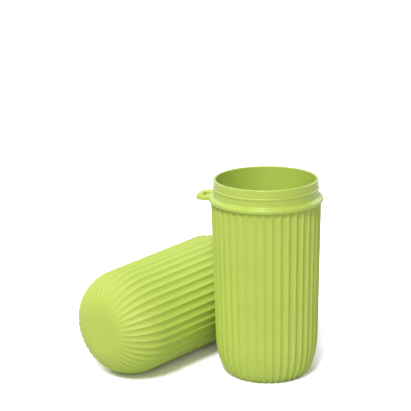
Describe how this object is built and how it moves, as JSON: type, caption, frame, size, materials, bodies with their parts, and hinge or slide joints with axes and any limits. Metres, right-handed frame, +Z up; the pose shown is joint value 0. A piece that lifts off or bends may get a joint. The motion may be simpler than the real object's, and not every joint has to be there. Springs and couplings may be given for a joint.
{
  "type": "toothbrush case",
  "caption": "Travel toothbrush case: a fluted plastic cup with a neck, flange and hanging loop, and a fluted, round-ended lid that slips over the neck, shown taken off and lying beside it.",
  "frame": {"origin": "centre of the cup's flat base, on the surface that the cup and the lid rest on", "axes": "+Z up along the cup's axis; the lid lies along Y on the -X side of the cup, with its mouth towards +Y"},
  "size_m": [0.1231, 0.1037, 0.1121],
  "materials": {
    "lime_plastic": "semi-gloss moulded polypropylene, lime green"
  },
  "bodies": {
    "cup": {"cup": "lime_plastic"},
    "lid": {"lid": "lime_plastic"}
  },
  "joints": [
    {"name": "lid_lift", "type": "slide", "parent": "cup", "child": "lid", "axis": [-0.1736, 0, 0.9848], "range_m": [0, 0.125]}
  ]
}
